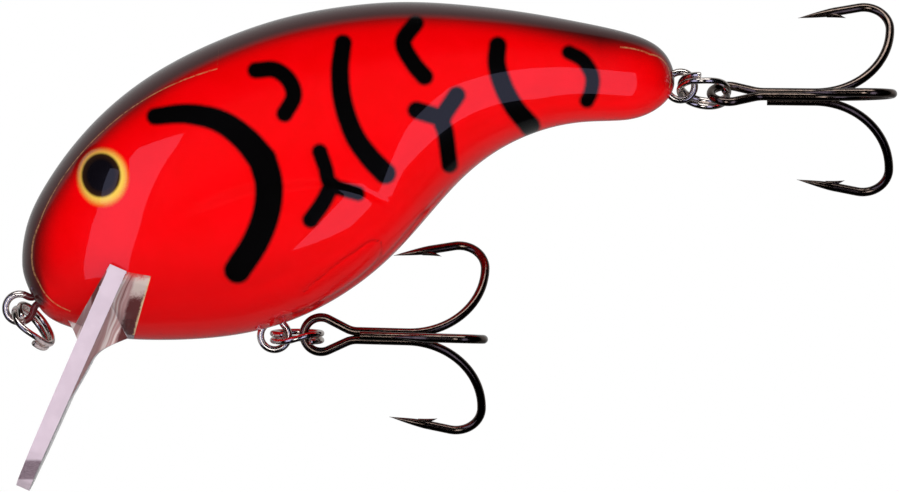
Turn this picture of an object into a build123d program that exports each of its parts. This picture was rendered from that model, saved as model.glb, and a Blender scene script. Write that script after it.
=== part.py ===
from build123d import *

import math
import os

# A hard fishing lure of the crankbait kind, in its swimming attitude. Millimetres.
# Frame: the origin is the centre of the wire eye at the nose, where the line pulls.
# +X runs to the tail, +Z to the back, and the left side of the fish is at -Y.

# ---- body ---------------------------------------------------------------------------------
NOSE_X = 0.25
TAIL_X = 65.5
# Stations along the body: x, height of the back, height of the belly, half width.
STATIONS = [
    (0.25, 4.7, 4.7, 0.0),
    (1.0, 9.1, 1.75, 3.0),
    (2.5, 12.15, -0.55, 4.8),
    (5.0, 15.8, -1.9, 6.6),
    (9.0, 20.1, -2.9, 8.4),
    (14.0, 23.8, -3.2, 9.7),
    (20.0, 26.8, -2.9, 10.4),
    (26.0, 28.9, -1.65, 10.6),
    (32.0, 30.1, 1.15, 10.3),
    (38.0, 30.6, 6.0, 9.5),
    (44.0, 30.35, 12.7, 8.3),
    (50.0, 29.65, 16.9, 6.9),
    (56.0, 28.6, 18.55, 5.6),
    (61.0, 27.45, 18.85, 4.6),
    (64.0, 26.0, 20.1, 3.2),
    (65.5, 22.7, 22.7, 0.0),
]
WIDEST_AT = 0.46  # share of a section's height, from the belly, where it is widest
SQUARENESS = 2.25  # exponent of the superellipse that a section follows
BODY_SECTIONS = 22
CAVITY_SECTIONS = 14
END_TURN = 0.035  # the body ends in two small flats, this far from its tips in radians
WALL = 1.3
CAVITY_FROM = 9.0
CAVITY_TO = 58.5
# Solid blocks between the shells: from x, to x, from z, to z.
LIP_BLOCK = (4.0, 14.4, -5.0, 11.2)
HANGER_BLOCK = (22.8, 28.2, -4.0, 5.4)

# ---- diving lip ---------------------------------------------------------------------------
LIP_TOP = (10.05, 4.05)  # x, z of the plate's middle at its upper end
LIP_SLOPE = 66.2  # degrees below the horizontal, forwards
# Half the plate's thickness, at distances down from its upper end.
LIP_DEPTH = [(0.0, 0.88), (8.0, 0.85), (16.0, 0.8), (24.2, 0.7)]
# Outline of one side, along the plate and across it.
LIP_SIDE = [(0.0, 8.7), (12.0, 9.0), (20.4, 8.5), (23.2, 5.4)]
LIP_LENGTH = 24.1
LIP_CORNER_R = 1.6
# The clear root of the lip shows in a window of the shells. Corners in x, z.
WINDOW = [(5.0, -2.7), (9.2, 4.4), (11.0, 3.6), (13.3, 3.2), (11.2, -3.9), (9.0, -4.4)]
GUSSET = [(10.9, -3.0), (8.8, -3.9), (7.6, -4.8), (6.7, -6.4), (4.7, -9.9)]
GUSSET_ENDS = (9.6, 3.0)  # where the gusset stops on the plate, down from its upper end
CHIN_FILLET = [(4.9, -1.2), (5.5, -2.3), (6.0, -3.6), (7.4, -1.0)]
GUSSET_HALF = 6.6
CHIN_HALF = 3.0
TENON = [(9.6, 3.4), (12.9, 2.6), (13.2, 8.6), (10.8, 9.2)]
TENON_HALF = 3.0

# ---- wire eyes ----------------------------------------------------------------------------
EYE_WIRE = 0.72
EYE_R = 1.4  # to the middle of the wire
EYE_SLOPE = 50.0
EYE_NECK_R = 0.8
EYE_LEG_OFFSET = 0.39
EYE_LEG = 4.2
ANCHOR_R = 0.9
ANCHOR_TURN = 80.0
# Centre x, z of each eye, then the way its legs point into the body, in degrees from +X.
LINE_EYE = (0.0, 0.0, 25.0)
BELLY_EYE = (25.5, -2.76, 80.0)
TAIL_EYE = (66.1, 22.2, 177.0)

# ---- split rings --------------------------------------------------------------------------
RING_WIRE = 0.62
RING_R = 2.42  # to the middle of the wire
RING_STEP = 0.68  # between the middles of the two turns
RING_GAP = 33.0  # degrees from the middle of the crossing to each cut end
RING_CROSSING = 40.0  # degrees from the middle of the crossing to where it reaches each turn
# Centre x, z of each ring, the way it trails in degrees from +X, its roll about that way, and
# where round the ring its wire crosses over.
LINE_RING = (1.36, -1.8, -52.0, 18.0, 90.0)
BELLY_RING = (27.75, -2.88, 0.0, 4.0, 90.0)
TAIL_RING = (68.43, 21.72, -11.0, -30.0, 72.0)

# ---- treble hooks -------------------------------------------------------------------------
HOOK_WIRE = 0.88
HOOK_EYE_R = 1.72
HOOK_EYE_SLOPE = 26.0
HOOK_NECK_R = 2.5
DOUBLE_OFFSET = 0.42  # of each shank of the double hook from the treble's axis
BEND_FROM = 8.65  # from the centre of the hook's eye
BEND_R = 7.6
THROAT_R = 2.6
THROAT_TURN = 102.0
POINT_LEG = 3.2
POINT_CONE = 3.0
POINT_TIP_R = 0.04
DOUBLE_LEAN = 30.0  # of the double's two bends out of the plane of the eye
SINGLE_FROM = 3.9  # where the single hook's shank starts
BARB_FROM = 0.5  # back from the start of the point's cone
BARB_LENGTH = 1.7
BARB_R = 0.3
BARB_ANGLE = 36.0
# Centre x, z of each treble's eye, the way it trails, and the roll of its eye out of the XZ plane.
BELLY_TREBLE = (30.14, -2.66, -1.5, 0.0)
TAIL_TREBLE = (70.85, 21.42, -0.5, 118.0)

# ---- inside -------------------------------------------------------------------------------
RATTLE_R = 1.6
RATTLE_GAP = 0.3
RATTLE_WALL = 0.8
# Chambers across the body: x, z, and how far the ball slides to either side.
RATTLES = {"front": (19.5, 15.5, 4.6), "middle": (31.0, 18.0, 4.4), "rear": (43.0, 21.5, 2.6)}
BALLAST_R = 2.9
BALLAST_HALF = 4.2
BALLAST_WALL = 0.9
BALLAST_AT = (18.8, 2.6)
PINS = [(7.0, 13.0), (25.0, 23.6), (36.5, 11.2), (51.5, 23.5)]
PIN_R = 0.9
PIN_LENGTH = 2.0
PIN_GAP = 0.05
PIN_BOSS_R = 1.9
BOSS_REACH = 14.0


def natural_spline(xs, ys):
    """A function for the natural cubic spline through the points."""
    count = len(xs)
    gap = [xs[i + 1] - xs[i] for i in range(count - 1)]
    diagonal = [1.0] * count
    upper = [0.0] * count
    right = [0.0] * count
    for i in range(1, count - 1):
        share = gap[i - 1] / diagonal[i - 1]
        diagonal[i] = 2 * (gap[i - 1] + gap[i]) - share * upper[i - 1]
        upper[i] = gap[i]
        slopes = (ys[i + 1] - ys[i]) / gap[i] - (ys[i] - ys[i - 1]) / gap[i - 1]
        right[i] = 6 * slopes - share * right[i - 1]
    bend = [0.0] * count
    for i in range(count - 2, 0, -1):
        bend[i] = (right[i] - upper[i] * bend[i + 1]) / diagonal[i]

    def value(x):
        i = 0
        while i < count - 2 and x > xs[i + 1]:
            i += 1
        a = (xs[i + 1] - x) / gap[i]
        b = (x - xs[i]) / gap[i]
        curve = (a**3 - a) * bend[i] + (b**3 - b) * bend[i + 1]
        return a * ys[i] + b * ys[i + 1] + curve * gap[i] ** 2 / 6

    return value


def turn_at(x):
    """The body's parameter, 0 at the nose and pi at the tail, in which both ends come out round."""
    return math.acos(1 - 2 * (x - NOSE_X) / (TAIL_X - NOSE_X))


def x_at(turn):
    return NOSE_X + (TAIL_X - NOSE_X) * (1 - math.cos(turn)) / 2


TURNS = [turn_at(station[0]) for station in STATIONS]
BACK = natural_spline(TURNS, [station[1] for station in STATIONS])
BELLY = natural_spline(TURNS, [station[2] for station in STATIONS])
HALF = natural_spline(TURNS, [station[3] for station in STATIONS])


def stretch(curve, turn):
    """How much longer a wall measures across the body than square to the outline."""
    step = 0.002
    rise = curve(turn + step) - curve(turn - step)
    run = x_at(turn + step) - x_at(turn - step)
    return math.hypot(1, rise / run)


def half_section(turn, inset=0.0):
    """The right half of a section of the body, as a face square to X."""
    x = x_at(turn)
    back = BACK(turn) - inset * stretch(BACK, turn)
    belly = BELLY(turn) + inset * stretch(BELLY, turn)
    half = HALF(turn) - inset * stretch(HALF, turn)
    middle = belly + WIDEST_AT * (back - belly)
    steps = 12
    points = [(x, 0, back)]
    for i in range(1, steps):
        angle = math.pi * i / steps
        across = half * math.sin(angle) ** (2 / SQUARENESS)
        share = abs(math.cos(angle)) ** (2 / SQUARENESS)
        reach = share * (back - middle) if i < steps / 2 else share * (belly - middle)
        points.append((x, across, middle + reach))
    points.append((x, 0, belly))
    rim = Spline(*points, tangents=[(0, 1, 0), (0, -1, 0)])
    return make_face(Wire([rim, Line(points[-1], points[0])]))


def spread(first, last, count):
    return [first + (last - first) * i / (count - 1) for i in range(count)]


def make_half_body():
    turns = spread(END_TURN, math.pi - END_TURN, BODY_SECTIONS)
    return loft([half_section(turn) for turn in turns])


def make_half_cavity():
    turns = spread(turn_at(CAVITY_FROM), turn_at(CAVITY_TO), CAVITY_SECTIONS)
    return loft([half_section(turn, WALL) for turn in turns])


def prism(corners, half):
    """An outline given in x, z, as a solid reaching `half` to either side of the middle plane."""
    outline = Polyline(*[(x, 0, z) for x, z in corners], close=True)
    return extrude(make_face(outline), half, dir=(0, 1, 0), both=True)


def block(span):
    low_x, high_x, low_z, high_z = span
    corners = [(low_x, low_z), (high_x, low_z), (high_x, high_z), (low_x, high_z)]
    return prism(corners, BOSS_REACH)


def across(x, z, radius, start, end):
    """A cylinder across the body, from y = start to y = end."""
    disc = Plane(origin=(x, start, z), z_dir=(0, 1, 0)) * Circle(radius)
    return extrude(disc, end - start)


def direction(degrees):
    return Vector(math.cos(math.radians(degrees)), 0, math.sin(math.radians(degrees)))


def flat_plane(origin, way, roll):
    """A plane whose x axis points along `way` in XZ. Its y axis is `roll` from the XZ plane."""
    along = direction(way)
    square = Vector(-along.Z, 0, along.X).rotate(Axis((0, 0, 0), along), roll)
    return Plane(origin=origin, x_dir=along, z_dir=along.cross(square))


def tube(path, radius):
    profile = Plane(origin=path @ 0, z_dir=path % 0) * Circle(radius)
    return sweep(profile, path=path)


def half_eye(radius, slope, neck_r, offset):
    """Half of a drawn-out wire eye, from its far end to where the wire runs along +X."""
    lean = math.radians(slope)
    turned = CenterArc((0, 0), radius, 90 - slope, 90 + slope)
    leave = Vector(radius * math.sin(lean), radius * math.cos(lean))
    neck_y = offset + neck_r * (1 - math.cos(lean))
    neck_x = leave.X + (leave.Y - neck_y) / math.tan(lean)
    straight = Line(leave, (neck_x, neck_y))
    neck = CenterArc((neck_x + neck_r * math.sin(lean), offset + neck_r), neck_r, 270 - slope, slope)
    return [turned, straight, neck], neck_x + neck_r * math.sin(lean)


def both_halves(edges):
    """One wire of these edges and their mirror images across the X axis."""
    upper = [edge.edge() for edge in edges]
    lower = [mirror(edge, about=Plane.XZ).edge() for edge in edges]
    return Wire(upper + lower)


def make_hanger(eye):
    """A bent wire eye with two legs and their anchors, which the shells close on."""
    x, z, way = eye
    edges, leg_x = half_eye(EYE_R, EYE_SLOPE, EYE_NECK_R, EYE_LEG_OFFSET)
    leg = Line((leg_x, EYE_LEG_OFFSET), (leg_x + EYE_LEG, EYE_LEG_OFFSET))
    anchor = CenterArc((leg_x + EYE_LEG, EYE_LEG_OFFSET + ANCHOR_R), ANCHOR_R, 270, ANCHOR_TURN)
    upper = edges + [leg, anchor]
    path = both_halves(upper)
    plane = flat_plane((x, 0, z), way, 0)
    return plane * tube(path, EYE_WIRE / 2)


def placed(place):
    """The plane of a ring or a treble: centre x, z, the way it trails and its roll about that way."""
    x, z, way, roll = place
    return flat_plane((x, 0, z), way, roll)


def make_ring(ring):
    """A split ring: two flat turns on each other. The wire crosses over between its two cut ends."""
    x, z, way, roll, cut = ring
    sweep_angle = 360 - RING_GAP - RING_CROSSING
    first = Pos(0, 0, -RING_STEP / 2) * CenterArc((0, 0), RING_R, cut + RING_GAP, sweep_angle)
    last = Pos(0, 0, RING_STEP / 2) * CenterArc((0, 0), RING_R, cut + RING_CROSSING, sweep_angle)
    between = []
    for share in (0.25, 0.5, 0.75):
        angle = math.radians(cut + RING_CROSSING * (2 * share - 1))
        climb = share * share * (3 - 2 * share) - 0.5
        between.append((RING_R * math.cos(angle), RING_R * math.sin(angle), climb * RING_STEP))
    crossing = Spline([first @ 1, *between, last @ 0], tangents=[first % 1, last % 0])
    coil = Wire([first.edge(), crossing.edge(), last.edge()])
    return placed((x, z, way, 90 + roll)) * tube(coil, RING_WIRE / 2)


def bend_path(offset):
    """The bend of a hook from its shank to the start of its point, in XY, and that start and heading."""
    centre = (BEND_FROM, offset + BEND_R)
    bend = CenterArc(centre, BEND_R, -90, 90)
    throat_at = Vector(BEND_FROM + BEND_R - THROAT_R, offset + BEND_R)
    throat = CenterArc(throat_at, THROAT_R, 0, THROAT_TURN)
    heading = math.radians(90 + THROAT_TURN)
    way = Vector(math.cos(heading), math.sin(heading))
    leave = throat @ 1
    leg = Line(leave, leave + POINT_LEG * way)
    return [bend, throat, leg], leg @ 1, way


def make_point(start, way):
    """The needle point with its barb on the inner side."""
    cone = Plane(origin=start, z_dir=way) * Cone(
        HOOK_WIRE / 2, POINT_TIP_R, POINT_CONE, align=(Align.CENTER, Align.CENTER, Align.MIN)
    )
    back = (-1 * way).rotate(Axis.Z, BARB_ANGLE)
    barb_root = start + way * BARB_FROM
    barb = Plane(origin=barb_root, z_dir=back) * Cone(
        BARB_R, POINT_TIP_R, BARB_LENGTH, align=(Align.CENTER, Align.CENTER, Align.MIN)
    )
    return cone + barb


def make_double(plane):
    """One wire bent into the eye, two shanks side by side and two of the three hooks."""
    edges, shank_x = half_eye(HOOK_EYE_R, HOOK_EYE_SLOPE, HOOK_NECK_R, DOUBLE_OFFSET)
    shank = Line((shank_x, DOUBLE_OFFSET), (BEND_FROM, DOUBLE_OFFSET))
    bends, start, way = bend_path(DOUBLE_OFFSET)
    shank_axis = Axis((0, DOUBLE_OFFSET, 0), (1, 0, 0))
    leaning = [edge.edge().rotate(shank_axis, -DOUBLE_LEAN) for edge in bends]
    wire = tube(both_halves(edges + [shank] + leaning), HOOK_WIRE / 2)
    point = make_point(start, way).rotate(shank_axis, -DOUBLE_LEAN)
    return plane * (wire + point + mirror(point, about=Plane.XZ))


def make_single(plane):
    """The third hook, its shank lying in the groove between the double's two."""
    height = math.sqrt(HOOK_WIRE**2 - DOUBLE_OFFSET**2)
    shank = Line((SINGLE_FROM, height), (BEND_FROM, height))
    bends, start, way = bend_path(height)
    hook = tube(Wire([shank] + bends), HOOK_WIRE / 2) + make_point(start, way)
    return plane * hook.rotate(Axis.X, 90)


def side_point(distance, depth=0):
    """x, z of a point this far down the lip's plate, and this far behind its middle."""
    top = Vector(LIP_TOP[0], 0, LIP_TOP[1])
    point = top + distance * direction(180 + LIP_SLOPE) + depth * direction(270 + LIP_SLOPE)
    return (point.X, point.Z)


def make_plate():
    way = direction(180 + LIP_SLOPE)
    plane = Plane(origin=(LIP_TOP[0], 0, LIP_TOP[1]), x_dir=way, z_dir=(way.Z, 0, -way.X))
    other = [(x, -y) for x, y in reversed(LIP_SIDE)]
    rim = Polyline(*other, *LIP_SIDE)
    tip = ThreePointArc(LIP_SIDE[-1], (LIP_LENGTH, 0), other[0])
    outline = make_face(Wire(rim.edges() + tip.edges()))
    corners = [corner for corner in outline.vertices() if corner.X > LIP_SIDE[1][0]]
    flat = plane * extrude(fillet(corners, LIP_CORNER_R), 2 * LIP_DEPTH[0][1], both=True)
    front = [side_point(distance, -depth) for distance, depth in LIP_DEPTH]
    back = [side_point(distance, depth) for distance, depth in reversed(LIP_DEPTH)]
    return flat & prism(front + back, BOSS_REACH)


def make_void(cavity):
    """What is hollow in one shell: the cavity less the solid blocks and the bosses."""
    void = cavity - block(LIP_BLOCK) - block(HANGER_BLOCK)
    bosses = [(x, z, RATTLE_R + RATTLE_GAP + RATTLE_WALL) for x, z, _ in RATTLES.values()]
    bosses.append((*BALLAST_AT, BALLAST_R + BALLAST_WALL))
    bosses += [(x, z, PIN_BOSS_R) for x, z in PINS]
    for x, z, radius in bosses:
        void -= across(x, z, radius, -1, BOSS_REACH)
    return void


def make_shell(half_body, void, cutters):
    """The right shell before its pin holes: wall, solid blocks, chambers and grooves."""
    shell = half_body - void
    for x, z, travel in RATTLES.values():
        depth = travel + RATTLE_R + RATTLE_GAP
        shell -= across(x, z, RATTLE_R + RATTLE_GAP, -1, depth)
    shell -= across(*BALLAST_AT, BALLAST_R, -1, BALLAST_HALF)
    for cutter in cutters:
        shell -= cutter
    return shell


half_body = make_half_body()
body = half_body + mirror(half_body, about=Plane.XZ)
window = prism(WINDOW, BOSS_REACH)
gusset = prism(GUSSET + [side_point(distance) for distance in GUSSET_ENDS], GUSSET_HALF)
lip_pieces = [make_plate(), gusset, prism(CHIN_FILLET, CHIN_HALF), prism(TENON, TENON_HALF)]
lip = window & body
for piece in lip_pieces:
    lip += piece
line_tie = make_hanger(LINE_EYE)
belly_hanger = make_hanger(BELLY_EYE)
tail_hanger = make_hanger(TAIL_EYE)
cutters = [window, *lip_pieces, line_tie, belly_hanger, tail_hanger]
right_shell = make_shell(half_body, make_void(make_half_cavity()), cutters)
left_shell = mirror(right_shell, about=Plane.XZ)
for x, z in PINS:
    right_shell -= across(x, z, PIN_R + PIN_GAP, -1, PIN_LENGTH + PIN_GAP)
    left_shell += across(x, z, PIN_R, -1, PIN_LENGTH)

belly_plane = placed(BELLY_TREBLE)
tail_plane = placed(TAIL_TREBLE)
nodes = {
    "left_shell": left_shell,
    "right_shell": right_shell,
    "diving_lip": lip,
    "line_tie": line_tie,
    "line_tie_split_ring": make_ring(LINE_RING),
    "belly_hanger": belly_hanger,
    "belly_split_ring": make_ring(BELLY_RING),
    "belly_treble_double_hook": make_double(belly_plane),
    "belly_treble_single_hook": make_single(belly_plane),
    "tail_hanger": tail_hanger,
    "tail_split_ring": make_ring(TAIL_RING),
    "tail_treble_double_hook": make_double(tail_plane),
    "tail_treble_single_hook": make_single(tail_plane),
    "ballast_weight": across(*BALLAST_AT, BALLAST_R, -BALLAST_HALF, BALLAST_HALF),
}
for name, (x, z, _) in RATTLES.items():
    nodes["rattle_ball_" + name] = Pos(x, 0, z) * Sphere(RATTLE_R)

os.makedirs("parts", exist_ok=True)
for name, shape in nodes.items():
    export_step(shape, "parts/" + name + ".step")
    print(name, round(shape.volume, 2), shape.is_valid, len(shape.solids()))
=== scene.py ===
import math

import bmesh
import bpy
import numpy as np
from mathutils import Matrix, Vector


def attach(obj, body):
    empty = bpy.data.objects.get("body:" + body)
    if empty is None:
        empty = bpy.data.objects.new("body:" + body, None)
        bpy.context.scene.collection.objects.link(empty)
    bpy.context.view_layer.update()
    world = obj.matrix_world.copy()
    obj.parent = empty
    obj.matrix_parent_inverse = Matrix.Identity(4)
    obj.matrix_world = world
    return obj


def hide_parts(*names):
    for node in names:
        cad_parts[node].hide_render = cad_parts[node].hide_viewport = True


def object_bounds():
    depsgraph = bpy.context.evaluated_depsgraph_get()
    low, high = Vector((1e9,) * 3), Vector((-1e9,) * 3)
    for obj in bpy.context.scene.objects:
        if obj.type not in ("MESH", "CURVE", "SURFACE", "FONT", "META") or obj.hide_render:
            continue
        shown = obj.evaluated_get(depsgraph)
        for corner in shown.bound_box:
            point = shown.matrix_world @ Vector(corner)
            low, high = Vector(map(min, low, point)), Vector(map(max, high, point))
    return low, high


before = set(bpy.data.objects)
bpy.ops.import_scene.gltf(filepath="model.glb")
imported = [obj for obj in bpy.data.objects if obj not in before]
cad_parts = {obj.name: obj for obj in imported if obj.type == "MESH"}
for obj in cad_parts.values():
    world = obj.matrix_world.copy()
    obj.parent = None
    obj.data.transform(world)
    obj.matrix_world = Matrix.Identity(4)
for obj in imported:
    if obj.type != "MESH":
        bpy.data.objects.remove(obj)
cad_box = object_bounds()

# Shapes below are written in millimetres, in the CAD's frame, and made into metres here.
MM = 0.001

# ---- body ---------------------------------------------------------------------------------
NOSE_X = 0.25
TAIL_X = 65.5
# Stations along the body: x, height of the back, height of the belly, half width.
STATIONS = [
    (0.25, 4.7, 4.7, 0.0),
    (1.0, 9.1, 1.75, 3.0),
    (2.5, 12.15, -0.55, 4.8),
    (5.0, 15.8, -1.9, 6.6),
    (9.0, 20.1, -2.9, 8.4),
    (14.0, 23.8, -3.2, 9.7),
    (20.0, 26.8, -2.9, 10.4),
    (26.0, 28.9, -1.65, 10.6),
    (32.0, 30.1, 1.15, 10.3),
    (38.0, 30.6, 6.0, 9.5),
    (44.0, 30.35, 12.7, 8.3),
    (50.0, 29.65, 16.9, 6.9),
    (56.0, 28.6, 18.55, 5.6),
    (61.0, 27.45, 18.85, 4.6),
    (64.0, 26.0, 20.1, 3.2),
    (65.5, 22.7, 22.7, 0.0),
]
WIDEST_AT = 0.46
SQUARENESS = 2.25
WALL = 1.3
CAVITY_FROM = 9.0
CAVITY_TO = 58.5
ALONG = 300
AROUND = 132
CAVITY_STEP = 4  # the cavity's mesh is this much coarser round the section than the skin's
SEAM = 0.06  # how far the skin dips at the joint of the two shells
END_TURN = 0.035  # the body ends in two small flats, this far from its tips in radians

# ---- paint --------------------------------------------------------------------------------
EYE = (8.3, 13.25)
EYE_TALL = 1.12  # the eye is this much taller than wide
PUPIL_R = 1.98
EYE_DOME_R = 2.35
EYE_DOME = 0.3
# Airbrushed strokes: points x, z and the half width at the first and last of them.
FAR = 9.0  # a distance beyond the reach of every line and stroke
STROKES = [
    ([(13.7, 19.1), (16.8, 19.35), (20.0, 18.7), (22.5, 17.0), (24.4, 14.8)], 0.75, 1.3),
    ([(24.4, 14.8), (25.05, 12.3), (24.8, 9.5), (23.7, 6.6), (21.9, 3.8)], 1.3, 1.2),
    ([(23.7, 23.7), (25.6, 23.75), (27.0, 22.7), (27.5, 21.1), (26.6, 19.35)], 0.7, 0.7),
    ([(32.4, 26.4), (32.1, 23.6), (32.4, 20.5), (33.5, 17.3), (35.0, 15.1), (36.6, 13.4)], 0.75, 0.95),
    ([(39.6, 28.4), (38.4, 26.5), (39.3, 24.5), (40.5, 23.05)], 0.7, 0.75),
    ([(43.7, 21.2), (42.3, 18.9), (42.6, 17.4), (43.0, 14.3)], 0.75, 0.7),
    ([(39.7, 19.7), (41.0, 19.3), (42.3, 18.9)], 0.75, 0.75),
    ([(47.8, 26.2), (47.7, 24.3), (48.3, 22.2), (49.4, 20.1), (51.0, 18.2)], 0.75, 0.9),
    ([(54.9, 25.5), (56.3, 24.7), (57.2, 23.15), (57.1, 21.6), (56.7, 20.7)], 0.6, 0.6),
    ([(30.1, 15.6), (30.7, 13.9), (31.3, 12.3), (33.9, 11.4)], 0.65, 0.6),
    ([(31.3, 12.3), (30.4, 10.5), (29.2, 8.8)], 0.7, 0.7),
]
# Moulded lines: the shoulder behind the cheek and the lobe and crease along the belly.
SHOULDER = [(16.3, 9.0), (17.5, 9.7), (20.3, 10.9), (23.4, 11.9), (26.8, 12.25), (30.3, 12.4),
            (32.8, 12.0), (35.4, 11.0), (38.0, 9.15)]
SHOULDER_DIP = 0.42
SHOULDER_FADE = 4.5
SHOULDER_STEP = 0.35
SHOULDER_ENDS = ((16.0, 20.0), (34.5, 38.5))  # x where the shoulder fades in and out
LOBE = [(28.5, 1.6), (31.7, 4.3), (33.5, 5.55), (35.0, 6.6), (36.0, 6.65), (36.35, 6.0), (35.9, 4.8),
        (34.7, 3.5), (33.0, 2.15), (31.0, 0.97), (28.5, -0.3), (25.5, -1.2)]
# Grooves in the skin: depth and width. The eye's groove lies this far outside its dome.
EYE_GROOVE = (0.07, 0.16)
EYE_GROOVE_OUT = 0.12
LOBE_GROOVE = (0.07, 0.28)
KEEL_GROOVE = (0.1, 0.25)
SEAM_WIDTH = 0.3
# y of the skin's normal where the dome and the shoulder fade in, and where the grooves do.
FLANK = (0.2, 0.6)
GROOVED = (0.05, 0.3)
# Fine raised line of the mould on the nose and on the tail: x, and its distance from the middle plane.
EDGE_NOSE = [(1.0, 3.3), (2.0, 3.9), (8.0, 4.9), (20.0, 6.6)]
EDGE_TAIL = [(60.0, 3.9), (63.0, 3.1), (65.5, 1.6)]
EDGE_FLOOR = [(5.0, -1.0), (10.0, 8.0), (60.0, 22.0)]  # x, and the height it stays above
# Where the dark spray of the back is half faded out: x, and distance from the middle plane.
DARK_EDGE = [(0.0, 4.2), (5.0, 5.3), (12.0, 6.1), (28.0, 5.8), (46.0, 5.35), (58.0, 4.6), (62.0, 3.5),
             (65.5, 2.0)]
DARK_SOFT = 1.7
DARK_UPPER = (-0.5, 0.0)  # z of the skin's normal where the spray fades in from below
# On the nose the spray reaches further down: x where it fades out, and z where it fades in.
DARK_CHIN_X = (2.0, 3.6)
DARK_CHIN_Z = (-0.6, 0.8)
KEEL = [(24.0, -2.1), (29.4, 0.0), (32.7, 1.9), (35.4, 4.0), (37.7, 6.3), (39.9, 8.8), (42.5, 11.6)]

# ---- diving lip ---------------------------------------------------------------------------
LIP_TOP = (10.05, 4.05)
LIP_SLOPE = 66.2
# Half the plate's thickness, at distances down from its upper end.
LIP_DEPTH = [(0.0, 0.88), (8.0, 0.85), (16.0, 0.8), (24.2, 0.7)]
LIP_SIDE = [(0.0, 8.7), (12.0, 9.0), (20.4, 8.5), (23.2, 5.4)]
LIP_LENGTH = 24.1
LIP_CORNER_R = 1.6
WINDOW = [(5.0, -2.7), (9.2, 4.4), (11.0, 3.6), (13.3, 3.2), (11.2, -3.9), (9.0, -4.4)]
GUSSET = [(10.9, -3.0), (8.8, -3.9), (7.6, -4.8), (6.7, -6.4), (4.7, -9.9)]
GUSSET_ENDS = (9.6, 3.0)  # where the gusset stops on the plate, down from its upper end
CHIN_FILLET = [(4.9, -1.2), (5.5, -2.3), (6.0, -3.6), (7.4, -1.0)]
GUSSET_HALF = 6.6
CHIN_HALF = 3.0
EDGE_SLACK = 0.05
EDGE_FACING = 0.3  # a face of the lip is part of its edge when its normal has this much y
LIP_FRONT_Z = -15.0  # the front edge of the plate is all below this
# Heights between which the painted shade of the clipped corners fades in and out.
CORNER_SHADE_Z = ((-17.15, -16.95), (-15.3, -14.95))
# Places across the root, as x less its lean: from the painted shade and painted light patches to the
# painted rim.
WINDOW_LEAN = 0.296
ROOT_DARK = (10.6, 11.0)
ROOT_RIM = (12.1, 12.3)
REACH = 14.0

# ---- wire eyes, rings and hooks -----------------------------------------------------------
EYE_WIRE = 0.72
EYE_R = 1.4
EYE_SLOPE = 50.0
EYE_NECK_R = 0.8
EYE_LEG_OFFSET = 0.39
EYE_LEG = 4.2
LINE_EYE = (0.0, 0.0, 25.0)
BELLY_EYE = (25.5, -2.76, 80.0)
TAIL_EYE = (66.1, 22.2, 177.0)
RING_WIRE = 0.62
RING_R = 2.42
RING_STEP = 0.68
RING_GAP = 33.0
RING_CROSSING = 40.0
# Centre x, z of each ring, the way it trails in degrees from +X, its roll about that way, and
# where round the ring its wire crosses over.
LINE_RING = (1.36, -1.8, -52.0, 18.0, 90.0)
BELLY_RING = (27.75, -2.88, 0.0, 4.0, 90.0)
TAIL_RING = (68.43, 21.72, -11.0, -30.0, 72.0)
HOOK_WIRE = 0.88
HOOK_EYE_R = 1.72
HOOK_EYE_SLOPE = 26.0
HOOK_NECK_R = 2.5
DOUBLE_OFFSET = 0.42
BEND_FROM = 8.65
BEND_R = 7.6
THROAT_R = 2.6
THROAT_TURN = 102.0
# A barb's root, knee and end: back from the tip of the point, and in from the middle of the wire.
BARB = [(2.9, 0.2), (3.8, 0.36), (4.7, 0.95)]
BARB_R = 0.27
SHARP_R = 0.012
POINT_LEG = 3.2
POINT_CONE = 3.0
DOUBLE_LEAN = 30.0
SINGLE_FROM = 3.9
# Centre x, z of each treble's eye, the way it trails, and the roll of its eye out of the XZ plane.
BELLY_TREBLE = (30.14, -2.66, -1.5, 0.0)
TAIL_TREBLE = (70.85, 21.42, -0.5, 118.0)


# ---- small helpers ------------------------------------------------------------------------
def smooth_step(low, high, value):
    share = np.clip((value - low) / (high - low), 0, 1)
    return share * share * (3 - 2 * share)


def natural_spline(xs, ys):
    """A function for the natural cubic spline through the points."""
    xs, ys = np.array(xs, float), np.array(ys, float)
    gap = np.diff(xs)
    count = len(xs)
    matrix = np.eye(count)
    right = np.zeros(count)
    for i in range(1, count - 1):
        matrix[i, i - 1 : i + 2] = gap[i - 1], 2 * (gap[i - 1] + gap[i]), gap[i]
        right[i] = 6 * ((ys[i + 1] - ys[i]) / gap[i] - (ys[i] - ys[i - 1]) / gap[i - 1])
    bend = np.linalg.solve(matrix, right)

    def value(x):
        i = np.clip(np.searchsorted(xs, x) - 1, 0, count - 2)
        a = (xs[i + 1] - x) / gap[i]
        b = (x - xs[i]) / gap[i]
        curve = (a**3 - a) * bend[i] + (b**3 - b) * bend[i + 1]
        return a * ys[i] + b * ys[i + 1] + curve * gap[i] ** 2 / 6

    return value


def smooth_curve(points, per_span=12):
    """Points along a Catmull-Rom curve through the given ones."""
    p = np.array(points, float)
    p = np.vstack([2 * p[0] - p[1], p, 2 * p[-1] - p[-2]])
    t = np.linspace(0, 1, per_span, endpoint=False)[:, None]
    spans = []
    for a, b, c, d in zip(p[:-3], p[1:-2], p[2:-1], p[3:]):
        second = 2 * a - 5 * b + 4 * c - d
        third = 3 * b - 3 * c + d - a
        spans.append(0.5 * (2 * b + (c - a) * t + second * t**2 + third * t**3))
    return np.vstack(spans + [p[-2][None]])


def follow(line, x):
    """The second value of a line of points, at x."""
    return np.interp(x, [point[0] for point in line], [point[1] for point in line])


def distance_to(curve, x, z):
    """Distance from each x, z to the curve, and how far along it the nearest point is, 0 to 1."""
    away = np.hypot(x[..., None] - curve[:, 0], z[..., None] - curve[:, 1])
    nearest = away.argmin(-1)
    return away.min(-1), nearest / (len(curve) - 1)


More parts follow.
